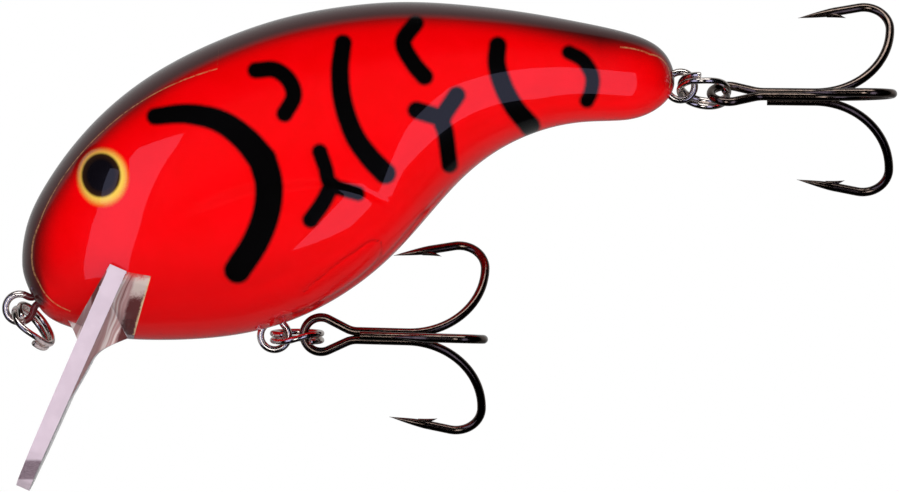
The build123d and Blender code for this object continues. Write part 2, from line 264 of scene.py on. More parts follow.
def add_object(name, mesh):
    obj = bpy.data.objects.new(name, mesh)
    bpy.context.scene.collection.objects.link(obj)
    return obj


def mesh_object(name, vertices, faces):
    """An object from points in millimetres."""
    mesh = bpy.data.meshes.new(name)
    mesh.from_pydata([tuple(c * MM for c in v) for v in vertices], [], faces)
    mesh.validate()
    edit = bmesh.new()
    edit.from_mesh(mesh)
    bmesh.ops.remove_doubles(edit, verts=edit.verts, dist=1e-7)
    bmesh.ops.recalc_face_normals(edit, faces=edit.faces)
    edit.to_mesh(mesh)
    edit.free()
    return add_object(name, mesh)


def apply_modifiers(obj):
    bpy.context.view_layer.update()
    graph = bpy.context.evaluated_depsgraph_get()
    mesh = bpy.data.meshes.new_from_object(obj.evaluated_get(graph))
    obj.modifiers.clear()
    obj.data = mesh


def combine(obj, other, operation, keep=False):
    """Applies a boolean of the other object to this one."""
    cut = obj.modifiers.new("boolean", "BOOLEAN")
    cut.operation = operation
    cut.solver = "EXACT"
    cut.object = other
    apply_modifiers(obj)
    if not keep:
        bpy.data.objects.remove(other)


def shade_smooth(obj, angle=None):
    for polygon in obj.data.polygons:
        polygon.use_smooth = True
    if angle is not None:
        obj.data.set_sharp_from_angle(angle=math.radians(angle))


def direction(degrees):
    return Vector((math.cos(math.radians(degrees)), 0, math.sin(math.radians(degrees))))


def placed(place):
    """The matrix of a ring or a treble: centre x, z, the way it trails and its roll about that way."""
    x, z, way, roll = place
    return flat_plane((x, 0, z), way, roll)


def flat_plane(origin, way, roll):
    """A matrix whose x axis points along `way` in XZ. Its y axis is `roll` from the XZ plane."""
    along = direction(way)
    square = Matrix.Rotation(math.radians(roll), 3, along) @ Vector((-along.z, 0, along.x))
    axes = Matrix((along, square, along.cross(square))).transposed()
    return Matrix.Translation(origin) @ axes.to_4x4()


# ---- body skin ----------------------------------------------------------------------------
def turn_at(x):
    return np.arccos(1 - 2 * (np.asarray(x, float) - NOSE_X) / (TAIL_X - NOSE_X))


TURNS = turn_at([station[0] for station in STATIONS])
BACK = natural_spline(TURNS, [station[1] for station in STATIONS])
BELLY = natural_spline(TURNS, [station[2] for station in STATIONS])
HALF = natural_spline(TURNS, [station[3] for station in STATIONS])


def section_grid(turns, angles, inset=0.0):
    """Points of the right half of the body, one row to each turn and one column to each angle."""
    turns = turns[:, None]
    x = NOSE_X + (TAIL_X - NOSE_X) * (1 - np.cos(turns)) / 2
    edges = []
    for curve in (BACK, BELLY, HALF):
        step = 0.002
        run = (TAIL_X - NOSE_X) * np.sin(turns) * step
        slope = (curve(turns + step) - curve(turns - step)) / np.maximum(run, 1e-6)
        edges.append(inset * np.hypot(1, slope))
    back = BACK(turns) - edges[0]
    belly = BELLY(turns) + edges[1]
    half = HALF(turns) - edges[2]
    middle = belly + WIDEST_AT * (back - belly)
    across = np.maximum(np.sin(angles), 0) ** (2 / SQUARENESS)
    share = np.abs(np.cos(angles)) ** (2 / SQUARENESS)
    reach = np.where(angles < math.pi / 2, back - middle, belly - middle)
    points = np.empty((len(turns), len(angles), 3))
    points[..., 0] = x
    points[..., 1] = half * across
    points[..., 2] = middle + share * reach
    return points


def grid_normals(points):
    along = np.gradient(points, axis=0)
    around = np.gradient(points, axis=1)
    normals = np.cross(along, around)
    normals /= np.maximum(np.linalg.norm(normals, axis=-1, keepdims=True), 1e-9)
    return normals


def groove(distance, depth, width):
    return -depth * np.exp(-((distance / width) ** 2))


def relief(points, normals):
    """How far the moulded skin stands out, in millimetres, at each point."""
    x, y, z = points[..., 0], points[..., 1], points[..., 2]
    flank = smooth_step(*FLANK, normals[..., 1])
    eye = np.hypot(x - EYE[0], (z - EYE[1]) / EYE_TALL)
    dome = EYE_DOME * (1 - (eye / EYE_DOME_R) ** 2).clip(0) ** 0.7
    rim = groove(eye - EYE_DOME_R - EYE_GROOVE_OUT, *EYE_GROOVE)
    line = smooth_curve(SHOULDER)
    top = follow(line, x)
    ends = smooth_step(*SHOULDER_ENDS[0], x) * (1 - smooth_step(*SHOULDER_ENDS[1], x))
    above = z - top
    step = smooth_step(-SHOULDER_STEP, SHOULDER_STEP, above)
    step *= np.exp(-np.maximum(above, 0) / SHOULDER_FADE)
    shoulder = -SHOULDER_DIP * step * ends
    lobe = distance_to(smooth_curve(LOBE), x, z)[0]
    keel = distance_to(smooth_curve(KEEL), x, z)[0]
    grooves = groove(lobe, *LOBE_GROOVE) + groove(keel, *KEEL_GROOVE)
    seam = -SEAM * (1 - smooth_step(0.0, SEAM_WIDTH, y))
    return flank * (dome + rim + shoulder) + grooves * smooth_step(*GROOVED, normals[..., 1]) + seam


def ink_distance(x, z):
    """Distance to the edge of the nearest airbrushed stroke, negative inside it."""
    best = np.full(x.shape, 99.0)
    for points, first, last in STROKES:
        away, along = distance_to(smooth_curve(points), x, z)
        best = np.minimum(best, away - (first + (last - first) * along))
    return best


def dark_back(points, normals):
    """How strongly the dark spray covers the skin: 1 on the ridge of the back and the nose."""
    x, y, z = points[..., 0], points[..., 1], points[..., 2]
    edge = follow(DARK_EDGE, x)
    ridge = 1 - smooth_step(edge - DARK_SOFT, edge + DARK_SOFT, y)
    upper = smooth_step(*DARK_UPPER, normals[..., 2])
    chin = (1 - smooth_step(*DARK_CHIN_X, x)) * smooth_step(*DARK_CHIN_Z, z)
    return ridge * np.maximum(upper, chin)


def mould_edge(points):
    """Distance to the mould's fine raised line, with a different sign on each side of it."""
    x, y = points[..., 0], points[..., 1]
    nose = np.where(x < EDGE_NOSE[-1][0], y - follow(EDGE_NOSE, x), FAR)
    line = np.where(x > EDGE_TAIL[0][0], y - follow(EDGE_TAIL, x), nose)
    return np.where(points[..., 2] > follow(EDGE_FLOOR, x), line, FAR)


def make_skin(side):
    """One closed shell of the body, its skin moulded and its paint fields stored on the points."""
    turns = np.linspace(END_TURN, math.pi - END_TURN, ALONG + 1)
    angles = np.linspace(0, math.pi, AROUND + 1)
    skin = section_grid(turns, angles)
    normals = grid_normals(skin)
    normals *= np.sign(normals[ALONG // 2, AROUND // 2, 1])
    normals[:, [0, -1], 1] = 0
    ends = smooth_step(0.05, 0.2, np.minimum(turns, math.pi - turns))
    moulded = skin + normals * (relief(skin, normals) * ends[:, None])[..., None]
    moulded[:, 0, 1] = 0
    moulded[:, -1, 1] = 0
    fields = {
        "edge": mould_edge(skin),
        "ink": ink_distance(skin[..., 0], skin[..., 2]),
        "back": dark_back(skin, normals),
        "crease": np.minimum(distance_to(smooth_curve(LOBE), skin[..., 0], skin[..., 2])[0],
                             distance_to(smooth_curve(KEEL), skin[..., 0], skin[..., 2])[0]),
    }
    hollow = np.flatnonzero((skin[:, 0, 0] > CAVITY_FROM) & (skin[:, 0, 0] < CAVITY_TO))
    cavity = section_grid(turns[hollow], angles[::CAVITY_STEP], WALL)
    rows, columns = skin.shape[:2]
    inner_columns = cavity.shape[1]
    vertices = np.vstack([moulded.reshape(-1, 3), cavity.reshape(-1, 3)])
    vertices[:, 1] *= side

    def outer(i, j):
        return i * columns + j

    def inner(i, j):
        return rows * columns + (i - hollow[0]) * inner_columns + j

    faces = []
    for i in range(rows - 1):
        for j in range(columns - 1):
            faces.append((outer(i, j), outer(i, j + 1), outer(i + 1, j + 1), outer(i + 1, j)))
    last = columns - 1
    end = inner_columns - 1
    for i in range(hollow[0], hollow[-1]):
        for j in range(end):
            faces.append((inner(i, j), inner(i + 1, j), inner(i + 1, j + 1), inner(i, j + 1)))
        faces.append((outer(i, 0), outer(i + 1, 0), inner(i + 1, 0), inner(i, 0)))
        faces.append((inner(i, end), inner(i + 1, end), outer(i + 1, last), outer(i, last)))
    for i in list(range(hollow[0] - 1)) + list(range(hollow[-1] + 1, rows - 1)):
        faces.append((outer(i, 0), outer(i + 1, 0), outer(i + 1, last), outer(i, last)))
    for i, outside in ((hollow[0], hollow[0] - 1), (hollow[-1], hollow[-1] + 1)):
        faces.append([inner(i, j) for j in range(inner_columns)])
        faces.append((outer(outside, 0), outer(i, 0), inner(i, 0),
                      inner(i, end), outer(i, last), outer(outside, last)))
    for i in (0, rows - 1):
        faces.append([outer(i, j) for j in range(columns)])

    name = "right_shell_skin" if side > 0 else "left_shell_skin"
    mesh = bpy.data.meshes.new(name)
    mesh.from_pydata((vertices * MM).tolist(), [], [tuple(int(v) for v in face) for face in faces])
    for field, values in fields.items():
        attribute = mesh.attributes.new(field, "FLOAT", "POINT")
        padded = np.full(len(vertices), FAR if field != "back" else 0.0)
        padded[: rows * columns] = values.reshape(-1)
        attribute.data.foreach_set("value", padded.astype(np.float32))
    edit = bmesh.new()
    edit.from_mesh(mesh)
    bmesh.ops.recalc_face_normals(edit, faces=edit.faces)
    edit.to_mesh(mesh)
    edit.free()
    return add_object(name, mesh)


def prism(name, corners, half):
    """An outline in x, z, reaching `half` to either side of the middle plane."""
    count = len(corners)
    vertices = [(x, y, z) for y in (-half, half) for x, z in corners]
    faces = [list(range(count)), list(range(2 * count - 1, count - 1, -1))]
    faces += [(i, (i + 1) % count, count + (i + 1) % count, count + i) for i in range(count)]
    return mesh_object(name, vertices, faces)


def round_corners(corners, radius, which, steps=8):
    """The outline with the chosen corners turned into arcs."""
    rounded = []
    count = len(corners)
    for i, corner in enumerate(corners):
        if i not in which:
            rounded.append(corner)
            continue
        here = Vector(corner)
        back = (Vector(corners[i - 1]) - here).normalized()
        on = (Vector(corners[(i + 1) % count]) - here).normalized()
        opening = back.angle(on)
        run = radius / math.tan(opening / 2)
        centre = here + (back + on).normalized() * radius / math.sin(opening / 2)
        first = here + back * run - centre
        sweep = (math.pi - opening) * (1 if back.x * on.y - back.y * on.x < 0 else -1)
        for k in range(steps + 1):
            rounded.append(tuple(centre + Matrix.Rotation(sweep * k / steps, 2) @ first))
    return rounded


def side_point(distance, depth=0.0):
    """x, z of a point this far down the lip's plate, and this far behind its middle."""
    top = Vector((LIP_TOP[0], 0, LIP_TOP[1]))
    point = top + distance * direction(180 + LIP_SLOPE) + depth * direction(270 + LIP_SLOPE)
    return (point.x, point.z)


def make_plate():
    """The diving lip's plate, which thins towards both ends."""
    side = [Vector(point) for point in LIP_SIDE]
    front = []
    tip = LIP_LENGTH - side[-1].x
    for k in range(1, 12):
        share = 1 - 2 * k / 12
        front.append((side[-1].x + tip * (1 - share * share), side[-1].y * share))
    corners = [tuple(point) for point in side] + front + [(p.x, -p.y) for p in reversed(side)]
    count = len(corners)
    outline = round_corners(corners, LIP_CORNER_R, {2, 3, count - 4, count - 3})
    count = len(outline)
    vertices = []
    for side_of in (-1, 1):
        for along, across in outline:
            x, z = side_point(along, side_of * 2 * LIP_DEPTH[0][1])
            vertices.append((x, across, z))
    faces = [list(range(count)), list(range(2 * count - 1, count - 1, -1))]
    faces += [(i, (i + 1) % count, count + (i + 1) % count, count + i) for i in range(count)]
    plate = mesh_object("plate", vertices, faces)
    before = [side_point(distance, -depth) for distance, depth in LIP_DEPTH]
    behind = [side_point(distance, depth) for distance, depth in reversed(LIP_DEPTH)]
    profile = smooth_curve(before, 6).tolist() + smooth_curve(behind, 6).tolist()
    combine(plate, prism("plate_profile", profile, REACH), "INTERSECT")
    return plate


def make_full_body():
    """The whole outside of the body as one closed mesh, without relief."""
    turns = np.linspace(0.02, math.pi - 0.02, 181)
    angles = np.linspace(0, math.pi, 65)
    right = section_grid(turns, angles)
    left = right[:, -2:0:-1] * [1, -1, 1]
    ring = np.concatenate([right, left], axis=1)
    rows, columns = ring.shape[:2]
    faces = []
    for i in range(rows - 1):
        for j in range(columns):
            k = (j + 1) % columns
            faces.append((i * columns + j, i * columns + k, (i + 1) * columns + k, (i + 1) * columns + j))
    faces.append(list(range(columns)))
    faces.append([(rows - 1) * columns + j for j in range(columns)])
    return mesh_object("full_body", ring.reshape(-1, 3), faces)


def make_lip():
    """Plate, clear root and the two fillets between them, as one closed piece."""
    lip = prism("diving_lip_clear", WINDOW, REACH)
    combine(lip, make_full_body(), "INTERSECT")
    gusset = smooth_curve(GUSSET, 6)
    rear = [tuple(point) for point in gusset] + [side_point(distance) for distance in GUSSET_ENDS]
    combine(lip, prism("gusset", rear, GUSSET_HALF), "UNION")
    combine(lip, prism("chin", CHIN_FILLET, CHIN_HALF), "UNION")
    combine(lip, make_plate(), "UNION")
    soften = lip.modifiers.new("soften", "BEVEL")
    soften.width = 0.28 * MM
    soften.segments = 3
    soften.limit_method = "ANGLE"
    soften.angle_limit = math.radians(35)
    apply_modifiers(lip)
    shade_smooth(lip, 40)
    return lip


# ---- wire ---------------------------------------------------------------------------------
def arc(centre, radius, start, end, steps):
    angles = np.radians(np.linspace(start, end, steps + 1))
    return [Vector((centre[0] + radius * math.cos(a), centre[1] + radius * math.sin(a), 0)) for a in angles]


def line(start, end, steps):
    start, end = Vector((*start, 0)), Vector((*end, 0))
    return [start.lerp(end, k / steps) for k in range(steps + 1)]


def joined(*runs):
    """One path from several, without the points they share."""
    path = []
    for run in runs:
        for point in run:
            if not path or (point - path[-1]).length > 1e-4:
                path.append(point)
    return path


def mirrored(path):
    return [Vector((p.x, -p.y, p.z)) for p in path]


def tube(path, radius_at, sides=18):
    """Vertices and faces of a round wire along a path. radius_at takes the length from its start."""
    length = 0.0
    vertices, faces = [], []
    tangent = (path[1] - path[0]).normalized()
    normal = tangent.orthogonal().normalized()
    for i, point in enumerate(path):
        ahead = path[min(i + 1, len(path) - 1)] - path[max(i - 1, 0)]
        turned = tangent.rotation_difference(ahead.normalized())
        normal = (turned @ normal).normalized()
        tangent = ahead.normalized()
        side = tangent.cross(normal)
        if i:
            length += (point - path[i - 1]).length
        radius = radius_at(length)
        for k in range(sides):
            angle = 2 * math.pi * k / sides
            vertices.append(point + radius * (math.cos(angle) * normal + math.sin(angle) * side))
    for i in range(len(path) - 1):
        for k in range(sides):
            a, b = i * sides + k, i * sides + (k + 1) % sides
            faces.append((a, b, b + sides, a + sides))
    faces.append(list(range(sides)))
    faces.append([(len(path) - 1) * sides + k for k in range(sides)])
    return vertices, faces


def path_length(path):
    return sum((b - a).length for a, b in zip(path, path[1:]))


def wire_object(name, tubes, matrix):
    """One object from several wires, placed by a matrix in millimetres."""
    vertices, faces = [], []
    for some_vertices, some_faces in tubes:
        base = len(vertices)
        vertices += [matrix @ v for v in some_vertices]
        faces += [tuple(base + i for i in face) for face in some_faces]
    obj = mesh_object(name, vertices, faces)
    shade_smooth(obj, 50)
    return obj


def half_eye(radius, slope, neck_r, offset):
    """Half of a drawn-out wire eye, from its far end to where the wire runs along X."""
    lean = math.radians(slope)
    leave = (radius * math.sin(lean), radius * math.cos(lean))
    neck_y = offset + neck_r * (1 - math.cos(lean))
    neck_x = leave[0] + (leave[1] - neck_y) / math.tan(lean)
    end_x = neck_x + neck_r * math.sin(lean)
    return joined(
        arc((0, 0), radius, 180, 90 - slope, 24),
        line(leave, (neck_x, neck_y), 6),
        arc((end_x, offset + neck_r), neck_r, 270 - slope, 270, 8),
    ), end_x


def make_eye_wire(name, eye):
    x, z, way = eye
    upper, leg_x = half_eye(EYE_R, EYE_SLOPE, EYE_NECK_R, EYE_LEG_OFFSET)
    upper = joined(upper, line((leg_x, EYE_LEG_OFFSET), (leg_x + EYE_LEG, EYE_LEG_OFFSET), 6))
    path = joined(mirrored(upper)[::-1], upper)
    plane = flat_plane((x, 0, z), way, 0)
    return wire_object(name, [tube(path, lambda length: EYE_WIRE / 2)], plane)


def make_split_ring(name, ring):
    """Two flat turns of wire on each other. The wire crosses over between the two cut ends."""
    x, z, way, roll, cut = ring
    path = []
    steps = 200
    for k in range(steps + 1):
        turn = RING_GAP + (720 - 2 * RING_GAP) * k / steps
        climb = float(smooth_step(360 - RING_CROSSING, 360 + RING_CROSSING, turn)) - 0.5
        angle = math.radians(cut + turn)
        path.append(Vector((RING_R * math.cos(angle), RING_R * math.sin(angle), RING_STEP * climb)))
    full = path_length(path)

    def radius(length):
        from_end = min(length, full - length)
        return RING_WIRE / 2 * (0.8 + 0.2 * float(smooth_step(0, 0.12, from_end)))

    return wire_object(name, [tube(path, radius)], placed((x, z, way, 90 + roll)))


def bend_path(offset):
    """The bend of a hook from its shank to the tip of its point."""
    bend = arc((BEND_FROM, offset + BEND_R), BEND_R, -90, 0, 40)
    throat_x = BEND_FROM + BEND_R - THROAT_R
    throat = arc((throat_x, offset + BEND_R), THROAT_R, 0, THROAT_TURN, 26)
    heading = math.radians(90 + THROAT_TURN)
    way = Vector((math.cos(heading), math.sin(heading), 0))
    leave = throat[-1]
    tip = leave + (POINT_LEG + POINT_CONE) * way
    leg = [leave.lerp(tip, k / 30) for k in range(31)]
    return joined(bend, throat, leg), tip, way


def point_radius(from_tip):
    """Radius of the wire this far from the tip of its needle point."""
    share = min(from_tip / (POINT_CONE + 0.7), 1)
    return max(HOOK_WIRE / 2 * (1 - (1 - share) ** 1.35), 0.02)


def make_barb(tip, way):
    """A sliver cut up from the inner side of the point, leaning back towards the bend."""
    inward = Vector((-way.y, way.x, 0))
    if inward.y > 0:
        inward = -inward
    root, knee, end = [tip - way * back + inward * rise for back, rise in BARB]
    path = []
    for k in range(13):
        t = k / 12
        path.append(root.lerp(knee, t).lerp(knee.lerp(end, t), t))
    full = path_length(path)
    return tube(path, lambda length: max(BARB_R * (1 - (length / full) ** 2), SHARP_R), 10)


def leaning(points, offset, lean):
    """Points turned about the shank that lies at this offset."""
    pivot = Vector((0, offset, 0))
    turn = Matrix.Rotation(math.radians(-lean), 3, "X")
    return [pivot + turn @ (p - pivot) for p in points]


def make_double(name, plane):
    eye, shank_x = half_eye(HOOK_EYE_R, HOOK_EYE_SLOPE, HOOK_NECK_R, DOUBLE_OFFSET)
    shank = line((shank_x, DOUBLE_OFFSET), (BEND_FROM, DOUBLE_OFFSET), 8)
    bend, tip, way = bend_path(DOUBLE_OFFSET)
    upper = joined(eye, shank, leaning(bend, DOUBLE_OFFSET, DOUBLE_LEAN))
    path = joined(mirrored(upper)[::-1], upper)
    full = path_length(path)
    wire = tube(path, lambda length: point_radius(min(length, full - length)))
    vertices, faces = make_barb(tip, way)
    barb = leaning(vertices, DOUBLE_OFFSET, DOUBLE_LEAN)
    return wire_object(name, [wire, (barb, faces), (mirrored(barb), faces)], plane)


def make_single(name, plane):
    height = math.sqrt(HOOK_WIRE**2 - DOUBLE_OFFSET**2)
    bend, tip, way = bend_path(height)
    path = joined(line((SINGLE_FROM, height), (BEND_FROM, height), 10), bend)
    full = path_length(path)
    wire = tube(path, lambda length: point_radius(full - length))
    stand = Matrix.Rotation(math.radians(90), 4, "X")
    return wire_object(name, [wire, make_barb(tip, way)], plane @ stand)


# ---- materials ----------------------------------------------------------------------------
class Nodes:
    """A material whose nodes are added by short calls. Coordinates are in millimetres."""

    def __init__(self, name):
        self.material = bpy.data.materials.new(name)
        self.material.use_nodes = True
        self.tree = self.material.node_tree
        self.shader = self.tree.nodes["Principled BSDF"]
        coordinates = self.add("ShaderNodeTexCoord")
        scaled = self.add("ShaderNodeVectorMath", operation="SCALE")
        self.link(coordinates.outputs["Object"], scaled.inputs[0])
        scaled.inputs["Scale"].default_value = 1 / MM
        self.mm = scaled.outputs[0]
        split = self.add("ShaderNodeSeparateXYZ")
        self.link(self.mm, split.inputs[0])
        self.x, self.y, self.z = split.outputs

    def add(self, kind, **settings):
        node = self.tree.nodes.new(kind)
        for key, value in settings.items():
            setattr(node, key, value)
        return node

    def link(self, source, target):
        self.tree.links.new(source, target)

    def put(self, target, value):
        if isinstance(value, bpy.types.NodeSocket):
            self.link(value, target)
        else:
            target.default_value = value

    def math(self, operation, *values):
        node = self.add("ShaderNodeMath", operation=operation)
        for socket, value in zip(node.inputs, values):
            self.put(socket, value)
        return node.outputs[0]

    def step(self, value, low, high, first=0.0, last=1.0):
        node = self.add("ShaderNodeMapRange", interpolation_type="SMOOTHSTEP")
        self.put(node.inputs["Value"], value)
        for key, given in (("From Min", low), ("From Max", high), ("To Min", first), ("To Max", last)):
            self.put(node.inputs[key], given)
        return node.outputs[0]

    def noise(self, scale, detail=4.0, roughness=0.55, vector=None):
        node = self.add("ShaderNodeTexNoise")
        self.link(vector or self.mm, node.inputs["Vector"])
        node.inputs["Scale"].default_value = scale
        node.inputs["Detail"].default_value = detail
        node.inputs["Roughness"].default_value = roughness
        return node.outputs["Fac"]

    def stretched(self, factors):
        node = self.add("ShaderNodeVectorMath", operation="MULTIPLY")
        self.link(self.mm, node.inputs[0])
        node.inputs[1].default_value = factors
        return node.outputs[0]

    def joined_axes(self, x, y, z):
        node = self.add("ShaderNodeCombineXYZ")
        for socket, value in zip(node.inputs, (x, y, z)):
            self.put(socket, value)
        return node.outputs[0]

    def field(self, name):
        return self.add("ShaderNodeAttribute", attribute_name=name).outputs["Fac"]

    def mix(self, share, first, second):
        node = self.add("ShaderNodeMix", data_type="RGBA")
        self.put(node.inputs["Factor"], share)
        for socket, colour in ((node.inputs[6], first), (node.inputs[7], second)):
            self.put(socket, (*colour, 1.0) if isinstance(colour, tuple) else colour)
        return node.outputs[2]

    def bump(self, height, distance, strength=1.0, normal=None):
        node = self.add("ShaderNodeBump")
        self.link(height, node.inputs["Height"])
        node.inputs["Distance"].default_value = distance * MM
        node.inputs["Strength"].default_value = strength
        if normal:
            self.link(normal, node.inputs["Normal"])
        return node.outputs["Normal"]

    def finish(self, **values):
        for key, value in values.items():
            self.put(self.shader.inputs[key.replace("_", " ")], value)
        return self.material


def paint_material():
    n = Nodes("lure_paint")
    grain = n.math("SUBTRACT", n.noise(2.6, 6.0, 0.7), 0.5)
    speck = n.math("SUBTRACT", n.noise(9.0, 3.0, 0.7), 0.5)
    # Painted shade: the red is darker from z 9 down to the belly.
    low = n.step(n.z, -3.5, 9.0)
    cloud = n.step(n.noise(0.35, 2.0, 0.5), 0.3, 0.7)
    red = n.mix(low, (0.62, 0.0, 0.001), n.mix(cloud, (0.90, 0.0, 0.001), (0.94, 0.0, 0.002)))
    # the airbrushed halo round the eye, and the dark back
    dx = n.math("SUBTRACT", n.x, EYE[0])
    dz = n.math("DIVIDE", n.math("SUBTRACT", n.z, EYE[1]), EYE_TALL)
    away = n.math("SQRT", n.math("ADD", n.math("MULTIPLY", dx, dx), n.math("MULTIPLY", dz, dz)))
    one_side = n.math("MULTIPLY", n.math("SUBTRACT", dx, dz), 0.07)
    halo = n.math("ADD", n.math("SUBTRACT", away, one_side), n.math("MULTIPLY", speck, 0.35))
    glow = n.step(halo, 1.95, 2.8, 1.0, 0.0)
    cover = n.step(n.math("ADD", n.field("back"), n.math("MULTIPLY", speck, 0.22)), 0.03, 0.97)
    colour = n.mix(cover, red, (0.045, 0.003, 0.003))
    colour = n.mix(glow, colour, (0.92, 0.60, 0.09))
    rim = n.math("ADD", away, n.math("MULTIPLY", speck, 0.1))
    pupil = n.step(rim, PUPIL_R - 0.18, PUPIL_R + 0.16, 1.0, 0.0)
    dark = n.mix(n.step(away, 1.2, PUPIL_R), (0.004, 0.003, 0.005), (0.03, 0.012, 0.004))
    colour = n.mix(pupil, colour, dark)
    # strokes, mould line, and painted shade in the grooves of the belly
    ink = n.math("ADD", n.field("ink"), n.math("MULTIPLY", n.math("ADD", grain, speck), 0.1))
    colour = n.mix(n.step(ink, -0.12, 0.42, 1.0, 0.0), colour, (0.0012, 0.001, 0.001))
    edge = n.step(n.math("ABSOLUTE", n.field("edge")), 0.02, 0.1, 0.65, 0.0)
    colour = n.mix(n.math("MULTIPLY", edge, n.step(grain, -0.2, 0.1)), colour, (0.6, 0.3, 0.12))
    # painted shade: the red darkens along the moulded grooves of the belly
    groove = n.step(n.field("crease"), 0.0, 0.22, 0.45, 0.0)
    colour = n.mix(groove, colour, (0.2, 0.0, 0.0))
    orange_peel = n.bump(n.noise(0.9, 2.0, 0.4), 0.02, 0.3)
    normal = n.bump(n.step(n.field("crease"), 0.0, 0.3), 0.05, 0.8, orange_peel)
    rough = n.step(n.noise(6.0, 4.0, 0.7), 0.3, 0.8, 0.3, 0.42)
    return n.finish(
        Base_Color=colour, Roughness=rough, Normal=normal, Coat_Weight=1.0, Coat_Roughness=0.03,
        Coat_IOR=1.5, Specular_IOR_Level=0.1,
    )


def clear_material():
    n = Nodes("lip_clear_plastic")
    scuff = n.noise(1.0, 6.0, 0.75, n.stretched((3.0, 0.6, 0.8)))
    rough = n.step(scuff, 0.45, 0.85, 0.03, 0.16)
    tint = n.mix(n.step(n.noise(0.5, 3.0, 0.5), 0.3, 0.7), (0.92, 0.86, 0.91), (0.97, 0.93, 0.96))
    normal = n.bump(n.noise(0.6, 3.0, 0.5), 0.05, 0.4)
    return n.finish(
        Base_Color=tint, Roughness=rough, Normal=normal, IOR=1.58, Transmission_Weight=0.86,
        Specular_IOR_Level=0.5,
    )


def frosted_material():
    """The sawn and rubbed edges of the lip, with painted shade where its corners are clipped."""
    n = Nodes("lip_frosted_edge")
    fine = n.noise(7.0, 5.0, 0.75)
    cloud = n.noise(0.5, 3.0, 0.5)
    pale = n.mix(n.step(cloud, 0.3, 0.7), (0.64, 0.52, 0.585), (0.69, 0.565, 0.63))
    dark = n.mix(n.step(fine, 0.35, 0.65), (0.13, 0.085, 0.105), (0.36, 0.27, 0.31))
    # painted shade: a dark band on the edge where the corners are clipped
    corner_shade = n.math("MULTIPLY", n.step(n.z, *CORNER_SHADE_Z[0]), n.step(n.z, *CORNER_SHADE_Z[1], 1.0, 0.0))
    colour = n.mix(corner_shade, pale, dark)
    rough = n.step(fine, 0.3, 0.7, 0.38, 0.55)
    normal = n.bump(fine, 0.02, 0.5)
    return n.finish(Base_Color=colour, Roughness=rough, Normal=normal, Specular_IOR_Level=0.3)


def root_material():
    """The clear root of the lip in its window, with what shows through it painted on as streaks, a painted
    shade patch and a painted light patch.
    """
    n = Nodes("lip_root_plastic")
    slope = direction(270 + LIP_SLOPE)
    behind = n.math("ADD", n.math("MULTIPLY", n.x, slope.x), n.math("MULTIPLY", n.z, slope.z))
    bent = n.math("MULTIPLY", n.math("SUBTRACT", n.noise(0.16, 2.0, 0.4), 0.5), 3.0)
    along = n.joined_axes(n.math("ADD", behind, bent), 0.0, n.math("MULTIPLY", n.z, 0.04))
    # painted reflection: the streaks stand in for what shows through the clear root
    streak = n.noise(1.5, 2.0, 0.6, along)
    colour = n.mix(n.step(streak, 0.34, 0.46), (0.20, 0.075, 0.07), (0.52, 0.31, 0.30))
    colour = n.mix(n.step(streak, 0.5, 0.62), colour, (0.84, 0.72, 0.69))
    ragged = n.math("MULTIPLY", n.math("SUBTRACT", n.noise(1.6, 5.0, 0.7), 0.5), 1.8)
    height = n.math("ADD", n.z, ragged)
    rear = n.math("SUBTRACT", n.x, n.math("MULTIPLY", n.z, WINDOW_LEAN))
    rear = n.math("ADD", rear, n.math("MULTIPLY", ragged, 0.25))
    # painted shade: a dark patch low in the back of the root
    dark = n.math("MULTIPLY", n.step(rear, *ROOT_DARK), n.step(height, 0.6, 1.6, 1.0, 0.0))
    colour = n.mix(dark, colour, (0.11, 0.03, 0.03))
    # painted light: a white patch higher in the back of the root
    white = n.math("MULTIPLY", n.step(rear, *ROOT_DARK), n.step(height, 0.8, 1.8))
    colour = n.mix(white, colour, (0.74, 0.60, 0.54))
    rim = n.step(rear, *ROOT_RIM)
    colour = n.mix(rim, colour, (0.85, 0.62, 0.36))
    spray = n.step(height, 2.7, 3.6)
    colour = n.mix(spray, colour, (0.72, 0.06, 0.05))
    normal = n.bump(streak, 0.08, 0.5)
    return n.finish(
        Base_Color=colour, Roughness=0.09, Normal=normal, IOR=1.58, Transmission_Weight=0.25,
        Specular_IOR_Level=0.5,
    )


def metal_material(name, dark, light, grain, low, high, coat=0.0):
    n = Nodes(name)
    cloud = n.noise(1.4, 5.0, 0.65)
    fine = n.noise(14.0, 4.0, 0.7)
    drawn = n.noise(3.0, 3.0, 0.6, n.stretched((grain, 4.0, 4.0)))
    colour = n.mix(n.step(cloud, 0.3, 0.7), dark, light)
    mottle = n.math("ADD", n.math("MULTIPLY", drawn, 0.6), n.math("MULTIPLY", fine, 0.4))
    rough = n.step(mottle, 0.3, 0.7, low, high)
    normal = n.bump(fine, 0.004, 0.5, n.bump(drawn, 0.01, 0.4))
    return n.finish(
        Base_Color=colour, Roughness=rough, Normal=normal, Metallic=1.0, Coat_Weight=coat,
        Coat_Roughness=0.08,
    )


def line_tie_material():
    """Bright wire, with the body's dark paint run onto it where it enters the nose."""
    n = Nodes("line_tie_wire")
    smear = n.math("ADD", n.x, n.math("MULTIPLY", n.math("SUBTRACT", n.noise(1.1, 4.0, 0.6), 0.5), 3.0))
    paint = n.step(smear, 0.0, 0.5)
    cloud = n.step(n.noise(1.4, 5.0, 0.65), 0.3, 0.7)
    bright = n.mix(cloud, (0.82, 0.72, 0.68), (0.96, 0.88, 0.84))
    colour = n.mix(paint, bright, n.mix(n.noise(2.0), (0.02, 0.004, 0.005), (0.14, 0.004, 0.006)))
    rough = n.step(n.noise(9.0, 4.0, 0.7), 0.3, 0.7, 0.12, 0.3)
    metallic = n.math("SUBTRACT", 1.0, paint)
    normal = n.bump(n.noise(3.0, 4.0, 0.6), 0.03, 0.4)
    return n.finish(Base_Color=colour, Roughness=rough, Metallic=metallic, Normal=normal)


